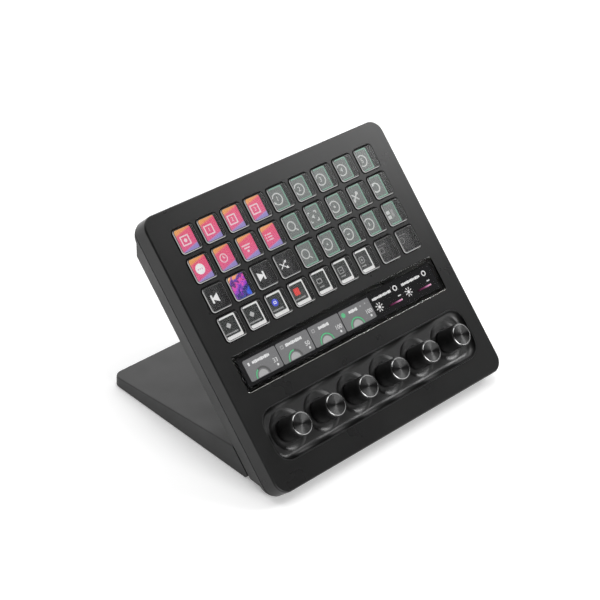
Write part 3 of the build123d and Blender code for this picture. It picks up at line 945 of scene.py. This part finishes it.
# each ground is (outer ink, inner ink, borders left, right, bottom and top)
keyGrounds = {
    "sunset": ("sunset", None, (0, 0, 0, 0)),
    "swirl": ("swirl", None, (0, 0, 0, 0)),
    "dark": ("dark", None, (0, 0, 0, 0)),
    "framed": ("frame", "smoke", (0.6, 1.0, 2.7, 1.5)),
    "mint": ("mint", "mist", (0.6, 0.9, 1.5, 0.9)),
}
keyGroundRows = {
    1: ["sunset"] * 4 + ["mint"] * 5,
    2: ["sunset"] * 4 + ["mint"] * 5,
    3: ["dark", "swirl", "dark", "dark"] + ["mint"] * 5,
    4: ["framed"] * 7 + ["dark", "dark"],
}


def boxMark(middle):
    return [outline(6.6, 6.4, 0.4, 0.8, "soft"), middle]


def loopMark(middle):
    # most of a ring with an arrow's head at its end
    return [arc(3.7, 0.75, 200, 320, "light"), dot(1.3, 3, "light", -3.3, -2.0, 20), middle]


def skipMark(side):
    # a bar and an arrow's head, to the left at -1 and to the right at 1
    return [bar(1.3, 5.4, 0.2, "white", 2.1 * side), dot(3.3, 3, "white", -1.0 * side, 0, -90 * side)]


def captioned(marks, width, level):
    # marks over a caption
    return marks + wordBlocks(width, 1.0, "caption", 0, level)


def headed(mark):
    # a mark under a caption that is switched off
    return wordBlocks(8.0, 0.8, "dim", 0.4, 4.1) + [mark]


listLevels = (2.0, 0.2, -1.6)
talkMark = [dot(3.4, 32, "white", 0, 0.2)] + [dot(0.45, 12, "rose", x, 0.2) for x in (-1.5, 0, 1.5)]
clockMark = [
    ring(2.6, 0.6, "soft", 0, 0.2),
    bar(0.55, 1.7, 0.2, "soft", 0, 1.0),
    bar(1.4, 0.55, 0.2, "soft", 0.6, 0.2),
]
filterMark = [
    bar(6.8, 0.8, 0.3, "soft", 0, 1.7),
    bar(4.6, 0.8, 0.3, "soft", 0, -0.1),
    dot(0.85, 16, "soft", 0, -2.2),
]
listMark = [bar(3.6, 0.75, 0.3, "soft", 0.7, level) for level in listLevels]
listMark += [dot(0.5, 12, "soft", -2.3, level) for level in listLevels]
searchMark = [ring(2.9, 0.75, "light", 0, 0.4), bar(2.8, 0.8, 0.2, "light", 2.9, -2.6, -45)]
targetMark = [bar(2.2, 0.8, 0.2, "light", x, y) for x in (-2.8, 2.8) for y in (-3.2, 3.2)]
targetMark += [bar(0.8, 2.0, 0.2, "light", x, y) for x in (-3.5, 3.5) for y in (-2.6, 2.6)]
targetMark += [dot(1.6, 3, "light", 0, 0, 90)]
scissorMark = [bar(6.4, 0.9, 0.3, "light", 0, 0, turn) for turn in (45, -45)]
scissorMark += [dot(1.2, 16, "light", 2.2, 2.2), dot(1.2, 16, "light", -2.2, -2.2)]
undoMark = [arc(3.0, 1.0, 200, 300, "light"), bar(3.2, 1.6, 0.4, "light", -2.2, 2.2, 20)]
shuffleMark = [bar(5.6, 0.6, 0.2, "white", -0.6, 0, turn) for turn in (40, -40)]
shuffleMark += [dot(1.2, 3, "white", 2.2, 2.0, -50), dot(1.2, 3, "white", 2.2, -2.0, -130)]
tilesMark = [bar(4.6, 2.3, 0.2, "light", -1.6, y) for y in (1.4, -1.9)] + [bar(2.0, 5.0, 0.2, "pale", 2.8)]
diamondMark = captioned([bar(2.8, 2.8, 0.4, "bright", -0.3, 1.2, 45)], 10.6, -3.5)
blueMark = [dot(2.4, 24, "blue", 0, 1.3), outline(2.2, 1.8, 0.2, 0.5, "white", 0, 1.3)]
redMark = [bar(4.4, 4.6, 0.4, "red", -0.4, 1.3)]
windowMark = [outline(4.4, 3.4, 0.9, 0.7, "pale", 0, 1.0)]
minusMark = [outline(4.4, 4.4, 0.6, 0.6, "pale", 0, 1.0), bar(1.6, 0.6, 0.2, "pale", 0, 1.0)]
lensMark = [outline(4.4, 4.4, 1.2, 0.6, "pale", 0, 1.0), dot(0.8, 12, "pale", 0, 1.0)]

# the marks of each row, from its left key to its right
keyMarkRows = {
    1: [
        boxMark(dot(1.2, 20, "soft")),
        *[boxMark(number(text, 2.6, "soft")) for text in "123"],
        *[loopMark(number(text, 3.2, "light")) for text in "12345"],
    ],
    2: [
        talkMark, clockMark, filterMark, listMark, searchMark, targetMark,
        loopMark(dot(0.8, 12, "light")), scissorMark, undoMark,
    ],
    3: [
        skipMark(-1), [], skipMark(1), shuffleMark, searchMark,
        loopMark(dot(1.0, 3, "light")),
        loopMark(bar(2.2, 0.8, 0.2, "light")),
        loopMark(bar(0.8, 2.2, 0.2, "light")),
        tilesMark,
    ],
    4: [
        diamondMark, diamondMark, captioned(blueMark, 8.4, -3.3), captioned(redMark, 8.4, -3.3),
        captioned(windowMark, 3.8, -2.9), captioned(minusMark, 3.8, -2.9), captioned(lensMark, 4.6, -2.9),
        headed(outline(4.0, 4.0, 0.6, 0.7, "dim", -0.6, 0.6)), headed(ring(1.9, 0.6, "dim", -0.6, 0.6)),
    ],
}


def addKeyPicture(row, column):
    look = keyPicture
    outer, inner, (left, right, bottom, top) = keyGrounds[keyGroundRows[row][column - 1]]
    base = (look["width"], look["height"], look["corner"], look["thick"])
    shapes = [flatShape("plate", base, outer, 0, 0, 0, 0)]
    level = look["thick"]
    if inner:
        corner = look["corner"] * look["innerCorner"]
        size = (look["width"] - left - right, look["height"] - bottom - top, corner, look["ink"])
        shapes.append(flatShape("plate", size, inner, (left - right) / 2, (bottom - top) / 2, 0, level))
        level += look["ink"]
    for kind, sizes, ink, x, y, turn in keyMarkRows[row][column - 1]:
        shapes.append(flatShape(kind, (*sizes, look["ink"]), ink, x, y, turn, level))
        level += look["stack"]
    across = (column - look["middleColumn"]) * look["pitch"]
    up = middleOnFace(f"key_r{row}_c{column}").y
    joinPicture(f"picture_r{row}_c{column}", shapes, (across, up, look["front"] - look["thick"]))


for row in keyRows:
    for column in keyColumns:
        addKeyPicture(row, column)
print("key pictures made")

# the strip's picture, bonded under its glass: four cells with a gauge and two sliders with a sun
strip = {
    "width": 170.2,
    "height": 17.7,
    "corner": 0.4,
    "front": -1.66,
    "back": -2.98,
    "marksRoom": 0.3,  # the marks stand on the ground within this
    "ink": 0.05,
    "stack": 0.001,
    "levels": 8,
}
stripCells = [
    {"middle": -68.5, "digits": "33", "sweep": 60, "words": 14.5, "wordsPlace": 0.3},
    {"middle": -41.3, "digits": "50", "sweep": 95, "words": 13.5, "wordsPlace": 0.4},
    {"middle": -14.0, "digits": "100", "sweep": 180, "words": 9.5, "wordsPlace": -0.6},
    {"middle": 13.3, "digits": "100", "sweep": 180, "words": 8.0, "wordsPlace": -1.8},
]
stripIcons = [
    bar(1.4, 2.0, 0.3, "white", -78.2, 3.5),
    outline(2.4, 2.2, 0.3, 0.45, "bright", -50.7, 3.5),
    outline(2.4, 2.2, 0.3, 0.45, "bright", -23.9, 3.5),
    dot(1.6, 20, "green", 2.8, 3.5),
    dot(0.55, 12, "bright", 18.2, 4.0),
    dot(0.55, 12, "bright", 22.4, 4.2),
]
stripSliders = [33.0, 60.2]
sunMark = {"place": -1.0, "level": -2.2, "radius": 1.1, "reach": 2.4, "rays": 8, "firstRay": 20}


def cellMarks(cell, order):
    middle = cell["middle"]
    gauge = (middle - 3.0, -6.4)
    return [
        bar(26.5, 13.5, 1.0, "cell", middle),
        arc(5.3, 1.3, 0, 180, "dim", *gauge),
        arc(5.3, 0.9, 180 - cell["sweep"], cell["sweep"], "green", *gauge),
        arc(1.9, 3.8, 0, 180, "bright", *gauge),
        number(cell["digits"], 2.8, "white", middle + 9.4, -1.4),
        dot(0.8, 12, "white", middle + 9.8, -4.4),
        *wordBlocks(cell["words"], 2.0, "white", middle + cell["wordsPlace"], 3.5, order),
    ]


def sliderMarks(middle, order):
    sunX, sunY = middle + sunMark["place"], sunMark["level"]
    marks = [
        *wordBlocks(17.0, 1.75, "white", middle + 4.5, 3.7, order),
        ring(1.5, 0.7, "white", middle + 17.2, 4.0),
        dot(sunMark["radius"], 16, "white", sunX, sunY),
        bar(2.6, 0.7, 0.2, "white", middle + 18.0, -1.5),
        bar(13.0, 1.0, 0.4, "slider", middle + 12.4, -4.5),
    ]
    for ray in range(sunMark["rays"]):
        turn = ray * 360 / sunMark["rays"] + sunMark["firstRay"]
        angle = math.radians(turn)
        rayX = sunX + sunMark["reach"] * math.cos(angle)
        rayY = sunY + sunMark["reach"] * math.sin(angle)
        marks.append(bar(1.5, 0.6, 0.15, "white", rayX, rayY, turn))
    return marks


def addStripPicture():
    marks = []
    for order, cell in enumerate(stripCells):
        marks += cellMarks(cell, order)
    marks += stripIcons
    for order, middle in enumerate(stripSliders):
        marks += sliderMarks(middle, order)
    base = strip["front"] - strip["back"] - strip["marksRoom"]
    ground = (strip["width"], strip["height"], strip["corner"], base)
    shapes = [flatShape("plate", ground, "ground", 0, 0, 0, 0)]
    for order, (kind, sizes, ink, x, y, turn) in enumerate(marks):
        level = base if ink == "cell" else base + strip["ink"]
        level += strip["stack"] * (order % strip["levels"])
        shapes.append(flatShape(kind, (*sizes, strip["ink"]), ink, x, y, turn, level))
    joinPicture("strip_picture", shapes, (0, middleOnFace("strip_glass").y, strip["back"]))


addStripPicture()
for store in shapeStore.values():
    bpy.data.objects.remove(store)
print("strip picture made")

# floor
floorLook = {"size": 12.0, "color": 0.9, "glow": 0.29}  # the size is in metres


def addFloor(look):
    # pale, with a glow that only the camera and mirrors see, so that it lights the object no more
    deselectAll()
    bpy.ops.mesh.primitive_plane_add(size=look["size"], location=(0, 0, 0))
    floor = bpy.context.object
    floor.name = "studioFloor"
    material, tree, shader = newMaterial("paleFloor", 1.0, specular=0.0)
    shader.inputs["Base Color"].default_value = (*grey(look["color"]), 1)
    glow = tree.nodes.new("ShaderNodeEmission")
    glow.inputs["Strength"].default_value = look["glow"]
    add = tree.nodes.new("ShaderNodeAddShader")
    path = tree.nodes.new("ShaderNodeLightPath")
    seen = addMath(tree, "MAXIMUM", path.outputs["Is Camera Ray"], path.outputs["Is Glossy Ray"])
    choose = tree.nodes.new("ShaderNodeMixShader")
    tree.links.new(shader.outputs["BSDF"], add.inputs[0])
    tree.links.new(glow.outputs["Emission"], add.inputs[1])
    tree.links.new(seen, choose.inputs["Fac"])
    tree.links.new(shader.outputs["BSDF"], choose.inputs[1])
    tree.links.new(add.outputs["Shader"], choose.inputs[2])
    tree.links.new(choose.outputs["Shader"], tree.nodes["Material Output"].inputs["Surface"])
    floor.data.materials.append(material)


addFloor(floorLook)
print("floor set")

bpy.context.scene.view_settings.view_transform = "Standard"
